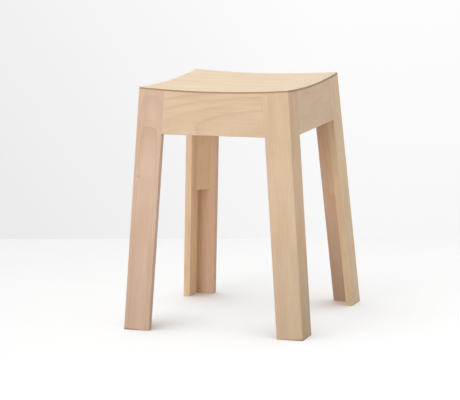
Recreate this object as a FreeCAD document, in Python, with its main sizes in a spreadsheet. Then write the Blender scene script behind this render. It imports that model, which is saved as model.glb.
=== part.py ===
# A four-legged stacking stool in beech.
# Four flat side frames lean inwards and meet at mitred corners, so every leg is an L of two boards.
# A thin moulded seat, dished like the inside of a ball, lies on the hollowed tops of the frames.
# A three-sided block fills each inner corner below the seat. Its foot stands on a seat corner of the
# stool underneath when stools are stacked.
# Millimetres, +Z up, origin on the floor under the middle of the seat, front frame towards -Y.

import FreeCAD, Part
import math
import os
import Sketcher

Vector = FreeCAD.Vector
Rotation = FreeCAD.Rotation
Placement = FreeCAD.Placement
Constraint = Sketcher.Constraint

SIZES = [
    ("height", 450, "floor to the seat's four corners"),
    ("foot_width", 350, "outside width of a side frame at the floor"),
    ("top_width", 288, "outside width of a side frame at the seat's corners"),
    ("board_thickness", 13, "thickness of all frame boards, square to their face"),
    ("board_width", 50, "width of a leg board, level, from the corner"),
    ("apron_bottom", 364, "height of the lower edge of the aprons"),
    ("seat_thickness", 4, "thickness of the moulded seat"),
    ("seat_radius", 1900, "radius of the seat's upper face"),
    ("block_leg", 25, "side of a corner block along each board"),
    ("block_bottom", 213, "height of the corner blocks' lower face"),
    ("corner_round", 1.5, "rounding of the outer corners, seen from above"),
    ("arris", 1, "rounding of the boards' free edges"),
    ("seat_bevel", 0.6, "bevel of the seat's upper rim"),
    ("dowel_diameter", 6, "diameter of the dowels between apron and leg board"),
    ("dowel_length", 30, "length of a dowel, half in each board"),
    ("dowel_rise", 20, "height of the lower dowel above the apron's lower edge"),
    ("dowel_pitch", 40, "upright distance between the two dowels of a joint"),
    ("dowel_clearance", 0.1, "space round a dowel in its hole"),
    ("dowel_end_gap", 1, "space past each end of a dowel"),
    ("cut_margin", 10, "how far blanks and cuts run past the finished surface"),
]

# Geometry that several pieces share, as expressions of the sizes
FOOT_HALF = "(Sizes.foot_width / 2)"
SLOPE = "((Sizes.foot_width - Sizes.top_width) / 2 / Sizes.height)"
LEAN = f"atan({SLOPE})"
LEVEL_THICKNESS = f"(Sizes.board_thickness / cos({LEAN}))"
SEAT_UNDER_RADIUS = "(Sizes.seat_radius + Sizes.seat_thickness)"
SEAT_CENTRE = "(Sizes.height + sqrt(Sizes.seat_radius ^ 2 - Sizes.top_width ^ 2 / 2))"
DISH_REACH = "(Sizes.top_width / 2 + Sizes.cut_margin)"
DOWEL_HEIGHTS = (
    "(Sizes.apron_bottom + Sizes.dowel_rise)",
    "(Sizes.apron_bottom + Sizes.dowel_rise + Sizes.dowel_pitch)",
)

# The four side frames are one design turned about the upright axis.
# Each entry gives the turn and the names of the frame's ends, left and right seen from outside.
FRAMES = {
    "front": (0, ("left", "right")),
    "right": (90, ("front", "back")),
    "back": (180, ("right", "left")),
    "left": (270, ("back", "front")),
}
CORNERS = {"front_left": 0, "front_right": 90, "back_right": 180, "back_left": 270}
LEFT, RIGHT = -1, 1
START, END, CENTRE = 1, 2, 3
TINY = 1e-4


def half(z):
    """Half the outside width of a frame at height z."""
    return f"({FOOT_HALF} - {SLOPE} * ({z}))"


def up_face(z):
    """Distance from the floor up the leaning face to height z."""
    return f"(({z}) / cos({LEAN}))"


doc = FreeCAD.newDocument("stacking_stool")
sheet = doc.addObject("Spreadsheet::Sheet", "Sizes")
for row, (alias, size, meaning) in enumerate(SIZES, 1):
    sheet.set(f"A{row}", meaning)
    sheet.set(f"B{row}", str(size))
    sheet.setAlias(f"B{row}", alias)
doc.recompute()


def number(expression):
    """Value of an expression of the sizes."""
    result = sheet.evalExpression(expression)
    return getattr(result, "Value", result)


def new_body(label, turn=0):
    """An empty body, turned about the upright axis to its side of the stool."""
    body = doc.addObject("PartDesign::Body", label)
    body.Label = label
    body.Placement = Placement(Vector(0, 0, 0), Rotation(Vector(0, 0, 1), turn))
    return body


def origin_item(body, role):
    """One of a body's own origin planes or axes."""
    return next(item for item in body.Origin.OriginFeatures if item.Role == role)


def attach(item, body, role):
    """Lay a sketch or primitive on one of its body's origin planes."""
    item.AttachmentSupport = [(origin_item(body, role), "")]
    item.MapMode = "FlatFace"


def flat_sketch(body, name, role, lift="0"):
    """A sketch on an origin plane, or lifted off it."""
    sketch = body.newObject("Sketcher::SketchObject", name)
    attach(sketch, body, role)
    sketch.setExpression("AttachmentOffset.Base.z", lift)
    return sketch


def leaning_sketch(body, name):
    """A sketch on the outer face of the front frame: X level, Y up the face, facing outwards."""
    sketch = flat_sketch(body, name, "XZ_Plane")
    sketch.AttachmentOffset = Placement(Vector(0, 0, 0), Rotation(Vector(-1, 0, 0), 1))
    sketch.setExpression("AttachmentOffset.Base.z", FOOT_HALF)
    sketch.setExpression("AttachmentOffset.Rotation.Angle", LEAN)
    return sketch


def dimension(sketch, kind, *where_and_size):
    """A sketch constraint whose size, the last argument, follows an expression."""
    *where, size = where_and_size
    index = sketch.addConstraint(Constraint(kind, *where, number(size)))
    sketch.setExpression(f"Constraints[{index}]", size)


def pin(sketch, element, point, x, y):
    """Hold one point of a sketch at a place given by two expressions."""
    for kind, place in (("DistanceX", x), ("DistanceY", y)):
        if number(place) > 0:
            dimension(sketch, kind, -1, START, element, point, place)
        elif number(place) < 0:
            dimension(sketch, kind, element, point, -1, START, f"-({place})")
        else:
            sketch.addConstraint(Constraint(kind, -1, START, element, point, 0))


def lines_through(sketch, points):
    """Straight lines from each point to the next."""
    return [sketch.addGeometry(Part.LineSegment(a, b)) for a, b in zip(points, points[1:])]


def chain(sketch, elements):
    """Join the end of each element to the start of the next, all the way round."""
    for (one, _, last), (other, first, _) in zip(elements, elements[1:] + elements[:1]):
        sketch.addConstraint(Constraint("Coincident", one, last, other, first))


def outline(sketch, corners):
    """A closed outline of straight lines through corners given as pairs of expressions."""
    points = [Vector(number(x), number(y), 0) for x, y in corners]
    lines = lines_through(sketch, points + points[:1])
    chain(sketch, [(line, START, END) for line in lines])
    for line, (x, y) in zip(lines, corners):
        pin(sketch, line, START, x, y)


def dish_arc(sketch, radius):
    """Section of a face of the dish through the middle of the stool, out to past the seat."""
    size = number(radius)
    swing = math.asin(number(DISH_REACH) / size)
    down = -math.pi / 2
    circle = Part.Circle(Vector(0, number(SEAT_CENTRE), 0), Vector(0, 0, 1), size)
    arc = sketch.addGeometry(Part.ArcOfCircle(circle, down - swing, down + swing))
    pin(sketch, arc, CENTRE, "0", SEAT_CENTRE)
    dimension(sketch, "Radius", arc, radius)
    dimension(sketch, "DistanceX", arc, START, -1, START, DISH_REACH)
    dimension(sketch, "DistanceX", -1, START, arc, END, DISH_REACH)
    return arc


def swing_dish(body, kind, name, sketch):
    """Swing a section of the dish about a level axis through its centre, which makes it round both ways."""
    reach = number(DISH_REACH)
    centre = number(SEAT_CENTRE)
    ends = (Vector(-reach, centre, 0), Vector(reach, centre, 0))
    axis = sketch.addGeometry(Part.LineSegment(*ends), True)
    pin(sketch, axis, START, f"-{DISH_REACH}", SEAT_CENTRE)
    pin(sketch, axis, END, DISH_REACH, SEAT_CENTRE)
    feature = body.newObject(kind, name)
    feature.Profile = sketch
    feature.ReferenceAxis = (sketch, ["Axis0"])
    feature.Midplane = True
    feature.setExpression("Angle", f"2 * asin({DISH_REACH} / Sizes.seat_radius)")


def pad(body, name, sketch, length):
    """Thicken an outline along its sketch's normal."""
    feature = body.newObject("PartDesign::Pad", name)
    feature.Profile = sketch
    feature.setExpression("Length", length)
    return feature


def pocket(body, name, sketch, upwards):
    """Cut an outline right through the body, with its sketch's normal or against it."""
    feature = body.newObject("PartDesign::Pocket", name)
    feature.Profile = sketch
    feature.Type = "ThroughAll"
    feature.Reversed = upwards
    return feature


def run_up_corner(feature, hand):
    """Turn the direction of a pad or pocket to the leaning corner line."""
    feature.UseCustomVector = True
    feature.AlongSketchNormal = True
    feature.setExpression("Direction.x", f"{-hand} * {SLOPE}")
    feature.setExpression("Direction.y", SLOPE)
    feature.setExpression("Direction.z", "1")


def ease_edges(body, kind, name, wanted, size_name, size):
    """Round or bevel those edges of the body's latest feature that pass a test."""
    doc.recompute()
    base = body.Tip
    names = [f"Edge{index}" for index, edge in enumerate(base.Shape.Edges, 1) if wanted(edge)]
    feature = body.newObject(kind, name)
    feature.Base = (base, names)
    feature.setExpression(size_name, size)


def round_edges(body, name, radius, wanted):
    ease_edges(body, "PartDesign::Fillet", name, wanted, "Radius", radius)


def bevel_edges(body, name, size, wanted):
    ease_edges(body, "PartDesign::Chamfer", name, wanted, "Size", size)


def lowest(edge):
    return min(vertex.Z for vertex in edge.Vertexes)


def highest(edge):
    return max(vertex.Z for vertex in edge.Vertexes)


def hollow_top(body):
    """Cut a frame piece or block to the curved underside of the seat."""
    sketch = flat_sketch(body, body.Label + "_hollow_section", "XZ_Plane")
    lid = "(Sizes.height + 2 * Sizes.cut_margin)"
    arc = dish_arc(sketch, SEAT_UNDER_RADIUS)
    left_rim, right_rim = sketch.getPoint(arc, START), sketch.getPoint(arc, END)
    top = number(lid)
    corners = [right_rim, Vector(right_rim.x, top, 0), Vector(left_rim.x, top, 0), left_rim]
    right_side, roof, left_side = lines_through(sketch, corners)
    chain(sketch, [(line, START, END) for line in (arc, right_side, roof, left_side)])
    pin(sketch, roof, START, DISH_REACH, lid)
    pin(sketch, roof, END, f"-{DISH_REACH}", lid)
    swing_dish(body, "PartDesign::Groove", body.Label + "_hollow", sketch)


def mitre(body, hand):
    """Cut the end of a frame board on the upright plane through opposite corners of the stool."""
    sketch = flat_sketch(body, body.Label + "_mitre_outline", "XY_Plane")
    out = f"{hand} * Sizes.foot_width"
    outline(sketch, [("0", "0"), (out, "-Sizes.foot_width"), (out, "0")])
    pocket(body, body.Label + "_mitre", sketch, upwards=True)


def round_corner(body, hand):
    """Round the leg's outer corner with a cut that runs up the corner line."""
    sketch = flat_sketch(body, body.Label + "_corner_outline", "XY_Plane")
    size = number("Sizes.corner_round")
    inner = number(FOOT_HALF) - size
    past = number(FOOT_HALF) + number("Sizes.cut_margin")
    circle = Part.Circle(Vector(hand * inner, -inner, 0), Vector(0, 0, 1), size)
    first = math.pi if hand == LEFT else 3 * math.pi / 2
    arc = sketch.addGeometry(Part.ArcOfCircle(circle, first, first + math.pi / 2))
    side_end, front_end = (START, END) if hand == LEFT else (END, START)
    pin(sketch, arc, CENTRE, f"{hand} * ({FOOT_HALF} - Sizes.corner_round)",
        f"Sizes.corner_round - {FOOT_HALF}")
    dimension(sketch, "Radius", arc, "Sizes.corner_round")
    sketch.addConstraint(Constraint("Vertical", arc, front_end, arc, CENTRE))
    sketch.addConstraint(Constraint("Horizontal", arc, side_end, arc, CENTRE))
    path = [(hand * inner, -inner - size), (hand * inner, -past), (hand * past, -past),
            (hand * past, -inner), (hand * (inner + size), -inner)]
    lines = lines_through(sketch, [Vector(x, y, 0) for x, y in path])
    chain(sketch, [(arc, side_end, front_end)] + [(line, START, END) for line in lines])
    for kind, line in zip(("Vertical", "Horizontal", "Vertical", "Horizontal"), lines):
        sketch.addConstraint(Constraint(kind, line))
    outside = f"({FOOT_HALF} + Sizes.cut_margin)"
    pin(sketch, lines[1], END, f"{hand} * {outside}", f"-{outside}")
    run_up_corner(pocket(body, body.Label + "_corner", sketch, upwards=False), hand)


def dowel_cylinder(body, kind, name, hand, z, radius, length):
    """A level cylinder centred on a joint between boards and on their thickness."""
    cylinder = body.newObject(kind, name)
    attach(cylinder, body, "YZ_Plane")
    joint = f"{hand} * ({half(z)} - Sizes.board_width)"
    cylinder.setExpression("Radius", radius)
    cylinder.setExpression("Height", length)
    cylinder.setExpression("AttachmentOffset.Base.x", f"{LEVEL_THICKNESS} / 2 - {half(z)}")
    cylinder.setExpression("AttachmentOffset.Base.y", z)
    cylinder.setExpression("AttachmentOffset.Base.z", f"{joint} - ({length}) / 2")


def dowel_holes(body, hands):
    """Holes for the two dowels at each of the given ends of a frame."""
    radius = "Sizes.dowel_diameter / 2 + Sizes.dowel_clearance"
    length = "Sizes.dowel_length + 2 * Sizes.dowel_end_gap"
    for hand in hands:
        for z in DOWEL_HEIGHTS:
            name = body.Label + "_dowel_hole"
            dowel_cylinder(body, "PartDesign::SubtractiveCylinder", name, hand, z, radius, length)


def leg_board_corners(hand, low, high):
    """Outline of a leg board on the leaning face, between two heights."""
    places = ((low, "0"), (low, "Sizes.board_width"), (high, "Sizes.board_width"), (high, "0"))
    return [(f"{hand} * ({half(z)} - {inset})", up_face(z)) for z, inset in places]


def leg_board(label, hand, turn):
    """One board of an L-shaped leg: a shank with eased edges and a plain head beside the apron."""
    body = new_body(label, turn)
    sketch = leaning_sketch(body, label + "_shank_outline")
    outline(sketch, leg_board_corners(hand, "-Sizes.cut_margin", "Sizes.apron_bottom"))
    pad(body, label + "_shank", sketch, "Sizes.board_thickness").Reversed = True

    sketch = flat_sketch(body, label + "_floor_outline", "XY_Plane")
    wide = "Sizes.foot_width"
    minus = "-Sizes.foot_width"
    outline(sketch, [(minus, minus), (wide, minus), (wide, wide), (minus, wide)])
    pocket(body, label + "_floor", sketch, upwards=False)

    middle = number(FOOT_HALF) - number("Sizes.board_width") / 2
    shank = number("Sizes.apron_bottom")

    def is_free(edge):
        inside = min(abs(vertex.X) for vertex in edge.Vertexes) < middle
        on_floor = highest(edge) < TINY
        long = highest(edge) - lowest(edge) > shank / 2
        return inside and (on_floor or long)

    round_edges(body, label + "_arris", "Sizes.arris", is_free)

    sketch = leaning_sketch(body, label + "_head_outline")
    outline(sketch, leg_board_corners(hand, "Sizes.apron_bottom", "Sizes.height"))
    pad(body, label + "_head", sketch, "Sizes.board_thickness").Reversed = True
    mitre(body, hand)
    round_corner(body, hand)
    hollow_top(body)
    dowel_holes(body, [hand])
    return body


def apron(label, turn):
    """The rail between two leg boards, hollowed on top, its lower edges eased."""
    body = new_body(label, turn)
    sketch = leaning_sketch(body, label + "_outline")
    low, high = "Sizes.apron_bottom", "Sizes.height"
    places = ((LEFT, low), (RIGHT, low), (RIGHT, high), (LEFT, high))
    outline(sketch, [(f"{hand} * ({half(z)} - Sizes.board_width)", up_face(z)) for hand, z in places])
    pad(body, label + "_blank", sketch, "Sizes.board_thickness").Reversed = True
    below = number("Sizes.apron_bottom") + TINY
    length = number("Sizes.top_width") / 2
    round_edges(body, label + "_arris", "Sizes.arris",
                lambda edge: highest(edge) < below and edge.Length > length)
    hollow_top(body)
    dowel_holes(body, [LEFT, RIGHT])
    return body


def corner_block(label, turn):
    """A three-sided block in the inner corner of a leg, up to the seat."""
    body = new_body(label, turn)
    sketch = flat_sketch(body, label + "_outline", "XY_Plane", "Sizes.block_bottom")
    corner = f"(-{half('Sizes.block_bottom')} + {LEVEL_THICKNESS})"
    far = f"({corner} + Sizes.block_leg)"
    outline(sketch, [(corner, corner), (far, corner), (corner, far)])
    blank = pad(body, label + "_blank", sketch, "Sizes.height - Sizes.block_bottom")
    run_up_corner(blank, LEFT)
    hollow_top(body)
    return body


def dowels(label, turn):
    """The four dowels of a side frame, two at each end of its apron."""
    body = new_body(label, turn)
    body.AllowCompound = True
    for hand in (LEFT, RIGHT):
        for z in DOWEL_HEIGHTS:
            dowel_cylinder(body, "PartDesign::AdditiveCylinder", label + "_dowel", hand, z,
                           "Sizes.dowel_diameter / 2", "Sizes.dowel_length")
    return body


def seat_panel(label):
    """The moulded seat: a dished sheet trimmed flush with the four leaning faces."""
    body = new_body(label)
    sketch = flat_sketch(body, label + "_section", "XZ_Plane")
    top = dish_arc(sketch, "Sizes.seat_radius")
    under = dish_arc(sketch, SEAT_UNDER_RADIUS)
    right = lines_through(sketch, [sketch.getPoint(under, END), sketch.getPoint(top, END)])[0]
    left = lines_through(sketch, [sketch.getPoint(top, START), sketch.getPoint(under, START)])[0]
    chain(sketch, [(under, START, END), (right, START, END), (top, END, START), (left, START, END)])
    swing_dish(body, "PartDesign::Revolution", label + "_sheet", sketch)

    sketch = leaning_sketch(body, label + "_trim_outline")
    wide = "2 * Sizes.foot_width"
    low, high = up_face("Sizes.apron_bottom"), up_face("Sizes.height + Sizes.top_width")
    outline(sketch, [(f"-{wide}", low), (wide, low), (wide, high), (f"-{wide}", high)])
    trim = pocket(body, label + "_trim", sketch, upwards=True)
    doc.recompute()
    pattern = body.newObject("PartDesign::PolarPattern", label + "_trims")
    pattern.Originals = [trim]
    pattern.Axis = (origin_item(body, "Z_Axis"), [""])
    pattern.Angle = 360
    pattern.Occurrences = len(FRAMES)
    body.Tip = pattern

    bevel_edges(body, label + "_bevel", "Sizes.seat_bevel", is_seat_rim)
    round_edges(body, label + "_corners", "Sizes.corner_round", is_seat_corner)
    return body


def is_seat_rim(edge):
    """Whether an edge lies in the seat's upper face."""
    centre = Vector(0, 0, number(SEAT_CENTRE))
    middle = edge.valueAt(sum(edge.ParameterRange) / 2)
    return abs((middle - centre).Length - number("Sizes.seat_radius")) < TINY


def is_seat_corner(edge):
    """Whether an edge of the seat is one of its four short upright ones, below the bevel."""
    thickness = number("Sizes.seat_thickness")
    return thickness / 2 < edge.Length < 2 * thickness


def check_cuts():
    """Stop if a cut that should take material away has left its solid as it was."""
    kinds = ("PartDesign::Pocket", "PartDesign::Groove", "PartDesign::SubtractiveCylinder")
    for item in doc.Objects:
        if item.TypeId in kinds and item.BaseFeature.Shape.Volume - item.Shape.Volume < TINY:
            raise RuntimeError(f"{item.Name} cuts nothing")


def check_states(parts):
    """Stop if any object failed or any piece has no sound solid."""
    for item in doc.Objects:
        if "Invalid" in item.State or "Error" in item.State:
            raise RuntimeError(f"{item.Name} is {item.State}")
    for piece in parts:
        if piece.Shape.isNull() or not piece.Shape.isValid() or not piece.Shape.Solids:
            raise RuntimeError(f"{piece.Label} has no sound solid")


parts = [seat_panel("seat_panel")]
for side, (turn, ends) in FRAMES.items():
    parts.append(apron(f"apron_{side}", turn))
    for hand, end in zip((LEFT, RIGHT), ends):
        parts.append(leg_board(f"leg_board_{side}_{end}", hand, turn))
    parts.append(dowels(f"dowels_{side}", turn))
for corner, turn in CORNERS.items():
    parts.append(corner_block(f"corner_block_{corner}", turn))

doc.recompute()
check_states(parts)
check_cuts()
os.makedirs("parts", exist_ok=True)
for piece in parts:
    piece.Shape.exportStep(f"parts/{piece.Label}.step")
    print(piece.Label, round(piece.Shape.Volume), "mm3,", len(piece.Shape.Solids), "solid(s)")
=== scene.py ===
# A stacking stool in clear-finished beech, on a pale floor in front of a pale wall.
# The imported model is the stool. This script gives each board its own cut of beech, lights it and
# sets the camera. Places are in metres, and the pattern in the wood is in each board's millimetres.

import math

import bpy
from mathutils import Matrix, Vector


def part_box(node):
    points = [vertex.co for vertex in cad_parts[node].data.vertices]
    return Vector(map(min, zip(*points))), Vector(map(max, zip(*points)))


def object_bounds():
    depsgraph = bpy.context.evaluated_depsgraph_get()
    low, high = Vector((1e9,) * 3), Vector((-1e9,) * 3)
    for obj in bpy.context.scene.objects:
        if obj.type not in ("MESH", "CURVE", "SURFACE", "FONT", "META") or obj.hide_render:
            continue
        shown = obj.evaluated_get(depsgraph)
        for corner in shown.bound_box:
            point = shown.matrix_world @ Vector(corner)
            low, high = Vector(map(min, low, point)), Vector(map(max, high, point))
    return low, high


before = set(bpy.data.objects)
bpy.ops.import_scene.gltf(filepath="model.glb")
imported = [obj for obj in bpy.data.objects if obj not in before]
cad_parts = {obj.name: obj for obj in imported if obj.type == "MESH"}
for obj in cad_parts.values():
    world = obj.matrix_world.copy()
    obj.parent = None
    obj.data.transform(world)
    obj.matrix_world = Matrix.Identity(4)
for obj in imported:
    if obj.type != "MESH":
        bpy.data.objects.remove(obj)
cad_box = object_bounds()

MM = 0.001
LEFT, RIGHT = -1, 1
X, Y, Z = range(3)
WHITE = (1, 1, 1, 1)

# The side frames are one design turned about the upright axis. Each entry gives the turn in degrees
# and the names of the frame's ends, left and right seen from outside.
SIDES = {
    "front": (0, ("left", "right")),
    "right": (90, ("front", "back")),
    "back": (180, ("right", "left")),
    "left": (270, ("back", "front")),
}
CORNERS = {"front_left": 0, "front_right": 90, "back_right": 180, "back_left": 270}

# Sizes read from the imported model
FOOT_HALF = cad_box[1].x
APRON_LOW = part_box("apron_front")[0]
SLOPE = (FOOT_HALF + APRON_LOW.y) / APRON_LOW.z
BOARD_WIDTH = APRON_LOW.x + FOOT_HALF - SLOPE * APRON_LOW.z
SEAT_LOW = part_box("seat_panel")[0]

# The dish of the seat, as in the model
SEAT_RADIUS = 1.9
SEAT_THICKNESS = 0.004
SEAT_CENTRE = Vector((0, 0, SEAT_LOW.z + SEAT_RADIUS + SEAT_THICKNESS))

# Camera, fitted to the edges of the stool in the photo: metres, degrees, and lens and sensor in
# millimetres
CAMERA_PLACE = (1.42954, -3.86028, 0.93657)
CAMERA_TURN = 20.650
CAMERA_DIP = 9.854
CAMERA_ROLL = -1.158
CAMERA_LENS = 173.73
CAMERA_SENSOR = 36

# Where the wall meets the floor: how far behind the middle of the stool, and the wall's turn
WALL_DISTANCE = 0.764
WALL_TURN = 14.85

# The stage
STAGE_WIDTH = 14
STAGE_DEPTH = 10
WALL_HEIGHT = 5

# Sizes of the pattern in beech, in millimetres along each axis of the noise behind it
FIBRE_SIZE = (12, 0.38, 0.38)
STREAK_SIZE = (90, 2.2, 2.2)
CLOUD_SIZE = (130, 26, 26)
WANDER_SIZE = (150, 24, 24)
FLECK_SIZE = (1.6, 0.4, 4.5)
RUB_SIZE = (28, 9, 9)

# How much darker and lighter each part of the pattern makes the wood
BAND_TONES = (-0.035, 0.03)
STREAK_TONES = (-0.05, 0.04)
FIBRE_TONES = (-0.035, 0.03)
FLECK_TONE = -0.07

# The colour of a knot, and what the wood's colour is multiplied by on end grain and plywood's edge
KNOT_COLOUR = (0.30, 0.15, 0.08, 1)
END_GRAIN_TINT = (0.78, 0.68, 0.60, 1)
PLY_EDGE_TINT = (0.62, 0.52, 0.45, 1)

# Roughness of the finish over dark and pale streaks, and what end grain adds
STREAK_ROUGHNESS = (0.50, 0.60)
END_GRAIN_ROUGHNESS = 0.15

# How far up a leg board the painted shade at its foot reaches: darker towards the floor, where less light
# falls
FOOT_SHADE_HEIGHT = 260

# The fine line of a joint: where it starts from the board's centre line, how wide its rise is, where
# the apron's begins, and how much darker it is than the wood
SEAM = 24.5
SEAM_RISE = 0.15
JOINT_LOW = 365
SEAM_DARKNESS = 0.3

# The painted contact shade along the bottom rim of a foot, where it meets the floor: its height and tone
FOOT_SHADE_RIM = 2.6
FOOT_SHADE_RIM_TONE = 0.6

# How much paler and how much glossier a rubbed edge is
RUBBED_TONE = 0.08
RUBBED_GLOSS = -0.1


class Tree:
    """Adds nodes to a material's tree. Inputs are values, or sockets to link from."""

    def __init__(self, tree):
        self.nodes = tree.nodes
        self.links = tree.links

    def add(self, kind, inputs=(), **settings):
        node = self.nodes.new(kind)
        for name, value in settings.items():
            setattr(node, name, value)
        for name, value in dict(inputs).items():
            if isinstance(value, bpy.types.NodeSocket):
                self.links.new(value, node.inputs[name])
            else:
                node.inputs[name].default_value = value
        return node

    def math(self, operation, *values):
        return self.add("ShaderNodeMath", enumerate(values), operation=operation).outputs[0]

    def vector(self, operation, *values):
        return self.add("ShaderNodeVectorMath", enumerate(values), operation=operation).outputs[0]

    def scale(self, vector, factor):
        return self.add("ShaderNodeVectorMath", {0: vector, "Scale": factor}, operation="SCALE").outputs[0]

    def length(self, vector):
        return self.add("ShaderNodeVectorMath", {0: vector}, operation="LENGTH").outputs["Value"]

    def dot(self, one, other):
        return self.add("ShaderNodeVectorMath", {0: one, 1: other}, operation="DOT_PRODUCT").outputs["Value"]

    def parts(self, vector):
        return self.add("ShaderNodeSeparateXYZ", {0: vector}).outputs

    def join(self, x, y, z):
        return self.add("ShaderNodeCombineXYZ", {0: x, 1: y, 2: z}).outputs[0]

    def noise(self, place, detail=2, roughness=0.5):
        inputs = {"Vector": place, "Scale": 1, "Detail": detail, "Roughness": roughness}
        return self.add("ShaderNodeTexNoise", inputs)

    def stretched_noise(self, place, period, detail=2, roughness=0.5):
        """Noise whose blotches have the given length in millimetres along each axis."""
        scale = tuple(1 / size for size in period)
        return self.noise(self.vector("MULTIPLY", place, scale), detail, roughness).outputs[0]

    def fade(self, value, start, end, low=0, high=1):
        """Smooth step from low, at start, to high, at end."""
        inputs = {"Value": value, "From Min": start, "From Max": end, "To Min": low, "To Max": high}
        return self.add("ShaderNodeMapRange", inputs, interpolation_type="SMOOTHSTEP").outputs[0]

    def mix(self, share, one, other, blend="MIX"):
        inputs = {0: share, 6: one, 7: other}
        return self.add("ShaderNodeMix", inputs, data_type="RGBA", blend_type=blend).outputs[2]

    def shade(self, colour, factor):
        """A colour made darker or lighter by a factor."""
        return self.tinted(colour, self.join(factor, factor, factor))

    def tinted(self, colour, tint):
        return self.mix(1, colour, tint, "MULTIPLY")


BEECH_INPUTS = (
    ("Place", "NodeSocketVector"),
    ("Grain", "NodeSocketVector"),
    ("Pith", "NodeSocketVector"),
    ("Drift", "NodeSocketVector"),
    ("Bow", "NodeSocketVector"),
    ("Bow From", "NodeSocketFloat"),
    ("Squareness", "NodeSocketFloat"),
    ("Ring", "NodeSocketFloat"),
    ("Wander", "NodeSocketFloat"),
    ("Heart", "NodeSocketFloat"),
    ("Figure", "NodeSocketFloat"),
    ("Contrast", "NodeSocketFloat"),
    ("Knot", "NodeSocketVector"),
    ("Knot Size", "NodeSocketFloat"),
    ("Foot Shade", "NodeSocketFloat"),
    ("Pale", "NodeSocketColor"),
    ("Deep", "NodeSocketColor"),
    ("Line", "NodeSocketColor"),
)
BEECH_OUTPUTS = (
    ("Color", "NodeSocketColor"),
    ("Roughness", "NodeSocketFloat"),
    ("Height", "NodeSocketFloat"),
)


def knot(tree, given):
    """How dark the knot makes a place, and how far it pushes the rings. A knot is twice as long along
    the grain as across it, and it pushes the rings out to five times its size."""
    way = tree.vector("MULTIPLY", tree.vector("SUBTRACT", given["Place"], given["Knot"]), (0.5, 1, 0))
    reach = tree.math("DIVIDE", tree.length(way), tree.math("MAXIMUM", given["Knot Size"], 0.01))
    core = tree.math("MULTIPLY", tree.fade(reach, 1.4, 0.4), 0.55)
    push = tree.math("MULTIPLY", tree.fade(reach, 5, 0), 0.8)
    return core, push


def from_pith(tree, given, along):
    """Distance from the middle of the log across, into the wood, and the growth ring's radius."""
    wander = tree.vector("DIVIDE", given["Place"], WANDER_SIZE)
    wander = tree.vector("SUBTRACT", tree.noise(wander, 2, 0.45).outputs["Color"], (0.5, 0.5, 0.5))
    wander = tree.scale(wander, given["Wander"])
    rise = tree.math("MAXIMUM", tree.math("SUBTRACT", along, given["Bow From"]), 0)
    rise = tree.math("DIVIDE", rise, 100)
    centre = tree.vector("ADD", given["Pith"], tree.scale(given["Drift"], along))
    centre = tree.vector("ADD", centre, tree.scale(given["Bow"], tree.math("MULTIPLY", rise, rise)))
    out = tree.vector("ADD", tree.vector("SUBTRACT", given["Place"], centre), wander)
    _, across, deep = tree.parts(out)
    power = given["Squareness"]
    across_power = tree.math("POWER", tree.math("ABSOLUTE", across), power)
    deep_power = tree.math("POWER", tree.math("ABSOLUTE", deep), power)
    radius = tree.math("POWER", tree.math("ADD", across_power, deep_power), tree.math("DIVIDE", 1, power))
    return across, deep, radius


def late_wood(tree, given, radius, push):
    """The darker wood at the end of each year, and the broader bands of good and bad years. The dark
    rises slowly over the year and ends at once, and some years have a fainter line than others."""
    ring = tree.math("ADD", tree.math("DIVIDE", radius, given["Ring"]), push)
    season = tree.math("FRACT", ring)
    year_noise = tree.add("ShaderNodeTexWhiteNoise", {"W": tree.math("FLOOR", ring)}, noise_dimensions="1D")
    late = tree.math("MULTIPLY", tree.fade(season, 0.4, 0.955), tree.fade(season, 1.0, 0.965))
    late = tree.math("MULTIPLY", late, tree.fade(year_noise.outputs["Value"], -0.4, 1, 0.35, 1))
    heart = given["Heart"]
    late = tree.math("MULTIPLY", late, tree.fade(radius, tree.math("MULTIPLY", heart, 0.7), heart))
    bands = tree.noise(tree.join(tree.math("MULTIPLY", ring, 3.1), 0, 0), 3, 0.6).outputs[0]
    return late, bands


def flecks(tree, given, along, across, deep, radius):
    """The ends of the rays: thin discs that stand on edge along the grain and point at the pith."""
    swing = tree.math("MULTIPLY", tree.math("ARCTAN2", across, deep), tree.length(given["Pith"]))
    noise = tree.stretched_noise(tree.join(along, swing, radius), FLECK_SIZE, 1, 0.5)
    return tree.fade(noise, 0.62, 0.74)


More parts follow.
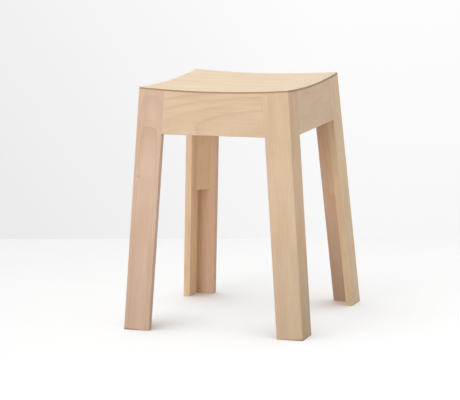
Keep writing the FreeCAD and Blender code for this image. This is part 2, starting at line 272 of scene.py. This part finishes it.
def beech_group():
    """Solid beech. Place is in the board's millimetres: along the grain, across it, into the wood."""
    group = bpy.data.node_groups.new("Beech", "ShaderNodeTree")
    for name, kind in BEECH_INPUTS:
        group.interface.new_socket(name, in_out="INPUT", socket_type=kind)
    for name, kind in BEECH_OUTPUTS:
        group.interface.new_socket(name, in_out="OUTPUT", socket_type=kind)
    tree = Tree(group)
    given = tree.add("NodeGroupInput").outputs
    place = given["Place"]
    along = tree.parts(place)[0]
    knot_core, knot_push = knot(tree, given)
    across, deep, radius = from_pith(tree, given, along)
    late, bands = late_wood(tree, given, radius, knot_push)
    fleck = flecks(tree, given, along, across, deep, radius)

    # Fibres, broad streaks and clouds along the grain
    fibre = tree.stretched_noise(place, FIBRE_SIZE, 2, 0.6)
    streak = tree.stretched_noise(place, STREAK_SIZE, 3, 0.55)
    cloud = tree.stretched_noise(place, CLOUD_SIZE, 2, 0.5)

    colour = tree.mix(tree.fade(cloud, 0.3, 0.7), given["Pale"], given["Deep"])
    colour = tree.mix(tree.math("MULTIPLY", late, given["Figure"]), colour, given["Line"])
    tone = tree.fade(bands, 0.2, 0.8, *BAND_TONES)
    tone = tree.math("ADD", tone, tree.fade(streak, 0.25, 0.75, *STREAK_TONES))
    tone = tree.math("ADD", tone, tree.fade(fibre, 0.25, 0.75, *FIBRE_TONES))
    tone = tree.math("ADD", tone, tree.fade(fleck, 0, 1, 0, FLECK_TONE))
    tone = tree.math("MULTIPLY_ADD", tone, given["Contrast"], 1)
    # Painted shade: darker towards the foot of a leg board, where less light reaches near the floor
    tone = tree.math("MULTIPLY", tone, tree.fade(along, 0, FOOT_SHADE_HEIGHT, given["Foot Shade"], 1))
    colour = tree.shade(colour, tone)
    colour = tree.mix(knot_core, colour, KNOT_COLOUR)

    # Cut across the fibres, the wood is darker and rougher
    normal = tree.add("ShaderNodeTexCoord").outputs["Normal"]
    end = tree.fade(tree.math("ABSOLUTE", tree.dot(normal, given["Grain"])), 0.55, 0.95)
    colour = tree.mix(end, colour, tree.tinted(colour, END_GRAIN_TINT))

    rough = tree.fade(streak, 0.2, 0.8, *STREAK_ROUGHNESS)
    rough = tree.math("ADD", rough, tree.math("MULTIPLY", end, END_GRAIN_ROUGHNESS))
    height = tree.math("SUBTRACT", tree.math("MULTIPLY", fibre, 0.5), tree.math("MULTIPLY", fleck, 0.4))
    height = tree.math("SUBTRACT", height, tree.math("MULTIPLY", late, 0.3))
    tree.add("NodeGroupOutput", {"Color": colour, "Roughness": rough, "Height": height})
    return group


BEECH = beech_group()

# Ways a board can be cut from the log, in its own millimetres: along, across and into the board.
# Pith is where the middle of the log passes. For each millimetre along, Drift moves it sideways, and
# past Bow From, Bow bends it away with the square of each 100 mm. Rings are Ring apart, and none is
# drawn within Heart. Squareness is 2 for round rings and more for squarer ones, and Wander shifts them.
# Figure is how strong their dark lines are, Contrast how strong the streaks, fibres and flecks are, and
# the foot's setting is the tone at the lower end: painted shade, darker where less light reaches near the
# floor.
USUAL = {"Bow": (0, 0, 0), "Bow From": 0, "Squareness": 2, "Heart": 1, "Contrast": 1,
         "Knot": (0, 0, 0), "Knot Size": 0, "Foot Shade": 1}
FLAT_SAWN = {"Pith": (0, 4, 60), "Drift": (0, 0.01, 0.045), "Ring": 3.4, "Wander": 9, "Figure": 0.3}
STRAIGHT = {"Pith": (0, -190, 25), "Drift": (0, 0.006, 0), "Ring": 4.2, "Wander": 5, "Figure": 0.2}


def tint(red, green, blue):
    """The colours of a board: pale wood, deeper wood and the dark line at the end of a year."""
    deep = (0.93 * red, 0.88 * green, 0.85 * blue, 1)
    line = (0.70 * red, 0.60 * green, 0.55 * blue, 1)
    return {"Pale": (red, green, blue, 1), "Deep": deep, "Line": line}


TAN = tint(0.80, 0.585, 0.39)
PINK = tint(0.76, 0.53, 0.38)
ROSE = tint(0.83, 0.575, 0.40)
RED = tint(0.80, 0.545, 0.37)
BROWN = tint(0.77, 0.52, 0.315)
YELLOW = tint(0.87, 0.65, 0.41)
OLIVE = tint(0.79, 0.555, 0.345)
GOLD = tint(0.93, 0.675, 0.435)
SEAT_TINT = tint(0.86, 0.68, 0.475)


def turn_about_axis(degrees):
    return Matrix.Rotation(math.radians(degrees), 3, "Z")


def axes(along, across, inwards):
    """Rotation that takes a board's own axes to these directions in the front frame."""
    columns = [Vector(direction).normalized() for direction in (along, across, inwards)]
    return Matrix(columns).transposed()


def leg_axes(hand):
    """Up along the board, to the right seen from outside, and into the wood."""
    up = Vector((-hand * SLOPE, SLOPE, 1)).normalized()
    inwards = Vector((0, 1, -SLOPE)).normalized()
    return axes(up, inwards.cross(up), inwards)


def apron_axes():
    """To the left seen from outside, up the face, and into the wood."""
    return axes((-1, 0, 0), (0, SLOPE, 1), (0, 1, -SLOPE))


def finish_material(tree, colour, rough, height):
    """A thin matt lacquer over the wood."""
    bump = tree.add("ShaderNodeBump", {"Strength": 0.35, "Distance": 0.0001, "Height": height})
    inputs = {"Base Color": colour, "Roughness": rough, "Normal": bump.outputs[0], "IOR": 1.45,
              "Coat Weight": 0.12, "Coat Roughness": 0.38}
    shader = tree.add("ShaderNodeBsdfPrincipled", inputs)
    tree.add("ShaderNodeOutputMaterial", {"Surface": shader.outputs[0]})


def new_tree(name):
    material = bpy.data.materials.new(name)
    material.use_nodes = True
    material.node_tree.nodes.clear()
    return material, Tree(material.node_tree)


def beech(tree, place, grain, cut):
    """The beech group with a cut's settings."""
    node = tree.add("ShaderNodeGroup", node_tree=BEECH)
    tree.links.new(place, node.inputs["Place"])
    node.inputs["Grain"].default_value = grain
    for name, value in (USUAL | cut).items():
        node.inputs[name].default_value = value
    return node.outputs


def between_axes(tree, turn):
    """1 on a board's rounded edges, which face between two of its own axes, and 0 on its flat faces."""
    normal = tree.add("ShaderNodeTexCoord").outputs["Normal"]
    facing = 0
    for own_axis in turn.col:
        facing = tree.math("MAXIMUM", facing, tree.math("ABSOLUTE", tree.dot(normal, own_axis)))
    return tree.fade(facing, 0.985, 0.9)


def worn(tree, place, edges, colour, rough):
    """Edges rubbed pale and smooth by hands, in patches."""
    patchy = tree.fade(tree.stretched_noise(place, RUB_SIZE, 3, 0.6), 0.38, 0.62, 0.25, 1)
    rub = tree.math("MULTIPLY", edges, patchy)
    colour = tree.shade(colour, tree.math("MULTIPLY_ADD", rub, RUBBED_TONE, 1))
    return colour, tree.math("MULTIPLY_ADD", rub, RUBBED_GLOSS, rough)


def leg_lines_and_foot_shade(tree, place, mitre):
    """Tone of the fine joint lines at a leg board's edges, the mitre all along and the apron's at the
    top, and of the painted contact shade at the bottom rim of the foot."""
    along, across, _ = tree.parts(place)
    outwards = tree.math("MULTIPLY", across, mitre)
    corner = tree.fade(outwards, SEAM, SEAM + SEAM_RISE)
    inner = tree.fade(outwards, -SEAM, -SEAM - SEAM_RISE)
    beside_apron = tree.math("MULTIPLY", inner, tree.fade(along, JOINT_LOW, JOINT_LOW + 1))
    lines = tree.math("MULTIPLY_ADD", tree.math("MAXIMUM", corner, beside_apron), -SEAM_DARKNESS, 1)
    # Painted contact shade: the lowest millimetres of the foot are darkened where it meets the floor
    return tree.math("MULTIPLY", lines, tree.fade(along, FOOT_SHADE_RIM / 4, FOOT_SHADE_RIM, FOOT_SHADE_RIM_TONE, 1))


def board_material(name, origin, turn, cut, mitre=0):
    """Solid beech for one board, whose own place and grain follow its turned axes. Mitre is the side
    of a leg board that its mitre is on."""
    material, tree = new_tree(name)
    inputs = {"Vector": tree.add("ShaderNodeTexCoord").outputs["Object"], "Location": origin,
              "Rotation": turn.to_euler(), "Scale": (MM, MM, MM)}
    place = tree.add("ShaderNodeMapping", inputs, vector_type="TEXTURE").outputs[0]
    wood = beech(tree, place, turn.col[0], cut)
    edges = between_axes(tree, turn)
    colour, rough = worn(tree, place, edges, wood["Color"], wood["Roughness"])
    if mitre:
        colour = tree.shade(colour, leg_lines_and_foot_shade(tree, place, mitre))
    finish_material(tree, colour, rough, wood["Height"])
    return material


def paint(node, material):
    """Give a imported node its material."""
    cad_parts[node].material_slots[0].material = material


def paint_board(node, side, origin, own_axes, cut, mitre=0):
    """Material for a board given in the front frame, turned to its own side."""
    turn = turn_about_axis(SIDES[side][0])
    paint(node, board_material(node, turn @ Vector(origin), turn @ own_axes, cut, mitre))


LEG_CUTS = {
    "front_left": PINK | {"Pith": (0, 0, 12), "Drift": (0, 0, 0), "Bow": (0, 0.45, 1.86), "Bow From": 200,
                          "Squareness": 8, "Ring": 4.54, "Heart": 17, "Figure": 0.42, "Wander": 1,
                          "Knot": (286, -15, 0), "Knot Size": 1.5, "Foot Shade": 0.89},
    "front_right": STRAIGHT | TAN | {"Foot Shade": 0.89},
    "right_front": STRAIGHT | OLIVE | {"Pith": (0, 150, 30), "Ring": 3.2, "Contrast": 1.3, "Foot Shade": 0.74},
    "right_back": STRAIGHT | YELLOW | {"Pith": (0, 120, 10), "Ring": 3.6, "Figure": 0.3, "Contrast": 1.3,
                                       "Foot Shade": 0.95},
    "back_right": STRAIGHT | ROSE | {"Pith": (0, -80, 70), "Foot Shade": 0.72},
    "back_left": FLAT_SAWN | RED | {"Pith": (0, 12, 70), "Figure": 0.2},
    "left_back": STRAIGHT | GOLD | {"Pith": (0, -110, 20)},
    "left_front": FLAT_SAWN | TAN | {"Pith": (0, -14, 66)},
}
APRON_CUTS = {
    "front": TAN | {"Pith": (0, 12, 37.9), "Drift": (0, 0, 0.174), "Ring": 11.2, "Heart": 44, "Wander": 4,
                    "Figure": 0.28, "Contrast": 0.8, "Knot": (-94, 49, 0), "Knot Size": 0.8},
    "right": FLAT_SAWN | TAN | {"Pith": (0, 60, 70), "Drift": (0, 0, -0.03), "Figure": 0.18, "Contrast": 0.8},
    "back": FLAT_SAWN | TAN | {"Pith": (0, 30, 64), "Drift": (0, 0, 0.05)},
    "left": FLAT_SAWN | YELLOW | {"Pith": (0, 50, 72), "Drift": (0, 0, 0.035)},
}

for side, (_, ends) in SIDES.items():
    paint_board(f"apron_{side}", side, (0, APRON_LOW.y, APRON_LOW.z), apron_axes(), APRON_CUTS[side])
    for hand, end in zip((LEFT, RIGHT), ends):
        key = f"{side}_{end}"
        foot = (hand * (FOOT_HALF - BOARD_WIDTH / 2), -FOOT_HALF, 0)
        paint_board(f"leg_board_{key}", side, foot, leg_axes(hand), LEG_CUTS[key], mitre=hand)
    along_x = axes((1, 0, 0), (0, 1, 0), (0, 0, 1))
    paint_board(f"dowels_{side}", side, (0, 0, 0), along_x, STRAIGHT | YELLOW)

# Each block comes from its own place in the log
BLOCK_PITH = -60
BLOCK_STEP = -17
for index, (corner, degrees) in enumerate(CORNERS.items()):
    turn = turn_about_axis(degrees)
    origin = turn @ Vector((-FOOT_HALF, -FOOT_HALF, 0))
    cut = STRAIGHT | BROWN | {"Pith": (0, BLOCK_PITH + index * BLOCK_STEP, 40)}
    name = f"corner_block_{corner}"
    paint(name, board_material(name, origin, turn @ leg_axes(LEFT), cut))

# The seat's outer veneers, and half the width of a glue line
VENEER_CUT = FLAT_SAWN | SEAT_TINT | {"Pith": (0, 30, 90), "Drift": (0, 0.02, 0.02), "Ring": 5,
                                      "Figure": 0.07, "Contrast": 0.5, "Knot": (17, 57, 0), "Knot Size": 1}
GLUE_LINE = 0.05


def seat_material():
    """Three veneers pressed to the dish: long grain outside, and the middle one across."""
    material, tree = new_tree("seat_plywood")
    coordinates = tree.add("ShaderNodeTexCoord").outputs
    radius = tree.length(tree.vector("SUBTRACT", coordinates["Object"], tuple(SEAT_CENTRE)))
    depth = tree.math("DIVIDE", tree.math("SUBTRACT", radius, SEAT_RADIUS), MM)
    place = tree.scale(coordinates["Object"], 1 / MM)
    x, y, _ = tree.parts(place)
    outer = beech(tree, tree.join(x, y, depth), (1, 0, 0), VENEER_CUT)
    inner = beech(tree, tree.join(y, x, depth), (0, 1, 0), STRAIGHT | SEAT_TINT)
    veneer = SEAT_THICKNESS / MM / 3
    past_first = tree.fade(depth, veneer - GLUE_LINE, veneer + GLUE_LINE)
    before_last = tree.fade(depth, 2 * veneer + GLUE_LINE, 2 * veneer - GLUE_LINE)
    middle = tree.math("MULTIPLY", past_first, before_last)
    colour = tree.mix(middle, outer["Color"], inner["Color"])
    level = tree.math("ABSOLUTE", tree.parts(coordinates["Normal"])[Z])
    edge = tree.fade(level, 0.8, 0.4)
    colour = tree.mix(edge, colour, tree.tinted(colour, PLY_EDGE_TINT))
    bevel = tree.math("MULTIPLY", tree.fade(level, 0.95, 0.85), tree.fade(level, 0.45, 0.6))
    colour, rough = worn(tree, place, bevel, colour, outer["Roughness"])
    finish_material(tree, colour, rough, outer["Height"])
    return material


paint("seat_panel", seat_material())

# The shade close to the feet: how far it reaches, its colour, how much its view leans outwards for each
# metre from the middle, and where it ends before the wall
SHADE_REACH = 0.15
SHADE_COLOUR = (0.28, 0.15, 0.05, 1)
SHADE_LEAN = 3.5
SHADE_ENDS = (0.4, 0.6)


def spread(tree, value, stops):
    """Straight steps between two stops, each a place and a tone. Past them the tone stays."""
    (start, low), (end, high) = stops
    inputs = {"Value": value, "From Min": start, "From Max": end, "To Min": low, "To Max": high}
    return tree.add("ShaderNodeMapRange", inputs).outputs[0]


def close_shade(tree, place):
    """White in the open, and a warm shade close to the feet, where the room's soft light is cut off.
    It looks away from the middle of the stool, so the shade is deeper within the legs than outside."""
    spot = tree.add("ShaderNodeNewGeometry").outputs["Position"]
    lean = tree.vector("MULTIPLY_ADD", spot, (SHADE_LEAN, SHADE_LEAN, 0), (0, 0, 1))
    inputs = {"Distance": SHADE_REACH, "Normal": tree.vector("NORMALIZE", lean)}
    open_share = tree.add("ShaderNodeAmbientOcclusion", inputs).outputs["AO"]
    clear_of_wall = tree.fade(place[Y], *SHADE_ENDS)
    return tree.mix(tree.math("MAXIMUM", open_share, clear_of_wall), SHADE_COLOUR, WHITE)


def stage_material(name, lit, glow, bounced, shaded=False):
    """A pale matt sheet. The camera sees the lit tone with a glow that grows along the sheet's own
    axes, and the stool is lit by a plainer tone."""
    material, tree = new_tree(name)
    path = tree.add("ShaderNodeLightPath").outputs
    looked_at = tree.math("MAXIMUM", path["Is Camera Ray"], path["Is Glossy Ray"])
    colour = tree.mix(looked_at, (bounced, bounced, bounced, 1), (lit, lit, lit, 1))
    matt = tree.add("ShaderNodeBsdfDiffuse", {"Color": colour}).outputs[0]
    place = tree.parts(tree.add("ShaderNodeTexCoord").outputs["Object"])
    level = 0
    for axis, stops in glow:
        level = tree.math("ADD", level, spread(tree, place[axis], stops))
    level = tree.math("MULTIPLY", level, looked_at)
    hue = close_shade(tree, place) if shaded else WHITE
    shine = tree.add("ShaderNodeEmission", {"Color": hue, "Strength": level}).outputs[0]
    both = tree.add("ShaderNodeAddShader", {0: matt, 1: shine}).outputs[0]
    behind = tree.add("ShaderNodeNewGeometry").outputs["Backfacing"]
    clear = tree.add("ShaderNodeBsdfTransparent").outputs[0]
    surface = tree.add("ShaderNodeMixShader", {0: behind, 1: both, 2: clear}).outputs[0]
    tree.add("ShaderNodeOutputMaterial", {"Surface": surface})
    return material


def stage_sheet(name, corners, material):
    """A flat sheet in the studio's own axes: along the wall, towards it, and up."""
    mesh = bpy.data.meshes.new(name)
    mesh.from_pydata([Vector(corner) for corner in corners], [], [(0, 1, 2, 3)])
    sheet = bpy.data.objects.new(name, mesh)
    sheet.matrix_world = Matrix.Rotation(math.radians(WALL_TURN), 4, "Z")
    bpy.context.collection.objects.link(sheet)
    mesh.materials.append(material)


# The glow along each axis of a sheet: from one place and its level to another
FLOOR_GLOW = ((X, ((-0.8, 0.604), (1.0, 0.744))), (Y, ((-1.0, 0.04), (0.76, -0.03))))
WALL_GLOW = ((X, ((-0.62, 0.825), (0.1, 0.93))), (Z, ((0.0, 0.0), (0.6, 0.06))))
HALF = STAGE_WIDTH / 2

floor_corners = (
    (-HALF, -STAGE_DEPTH, 0),
    (HALF, -STAGE_DEPTH, 0),
    (HALF, STAGE_DEPTH, 0),
    (-HALF, STAGE_DEPTH, 0),
)
floor_material = stage_material("floor", lit=0.35, glow=FLOOR_GLOW, bounced=0.5, shaded=True)
stage_sheet("floor", floor_corners, floor_material)

wall_corners = (
    (-HALF, WALL_DISTANCE, 0),
    (HALF, WALL_DISTANCE, 0),
    (HALF, WALL_DISTANCE, WALL_HEIGHT),
    (-HALF, WALL_DISTANCE, WALL_HEIGHT),
)
wall_material = stage_material("wall", lit=0.0, glow=WALL_GLOW, bounced=0.75)
stage_sheet("wall", wall_corners, wall_material)

# Each lamp's place, the side of its square and its power
LAMPS = {
    "overhead": ((-0.5, -0.7, 2.6), 2.2, 40),
    "front": ((-1.5, -3.5, 1.0), 2.0, 58),
    "right": ((2.6, -0.6, 0.5), 1.0, 19),
}
LAMP_AIM = Vector((0, 0, 0.3))


def softbox(name, place, side, watts):
    """A square soft lamp that faces the stool."""
    data = bpy.data.lights.new(name, "AREA")
    data.shape = "SQUARE"
    data.size = side
    data.energy = watts
    lamp = bpy.data.objects.new(name, data)
    lamp.location = place
    lamp.rotation_euler = (LAMP_AIM - Vector(place)).to_track_quat("-Z", "Y").to_euler()
    bpy.context.collection.objects.link(lamp)


for name, (place, side, watts) in LAMPS.items():
    softbox(name, place, side, watts)


def light_world(strength, seen):
    """An even pale surround, seen paler than it lights."""
    world = bpy.data.worlds.new("studio")
    world.use_nodes = True
    world.node_tree.nodes.clear()
    tree = Tree(world.node_tree)
    looked_at = tree.add("ShaderNodeLightPath").outputs["Is Camera Ray"]
    level = tree.math("MULTIPLY_ADD", looked_at, seen - strength, strength)
    sky = tree.add("ShaderNodeBackground", {"Color": WHITE, "Strength": level})
    tree.add("ShaderNodeOutputWorld", {"Surface": sky.outputs[0]})
    bpy.context.scene.world = world


light_world(strength=0.24, seen=0.93)


def set_camera():
    """The camera of the photo, at its place and turns."""
    data = bpy.data.cameras.new("camera")
    data.sensor_width = CAMERA_SENSOR
    data.lens = CAMERA_LENS
    camera = bpy.data.objects.new("camera", data)
    turn = Matrix.Rotation(math.radians(CAMERA_TURN), 4, "Z")
    dip = Matrix.Rotation(math.radians(90 - CAMERA_DIP), 4, "X")
    roll = Matrix.Rotation(math.radians(CAMERA_ROLL), 4, "Z")
    camera.matrix_world = Matrix.Translation(CAMERA_PLACE) @ turn @ dip @ roll
    bpy.context.collection.objects.link(camera)
    bpy.context.scene.camera = camera


set_camera()
bpy.context.scene.view_settings.view_transform = "Standard"
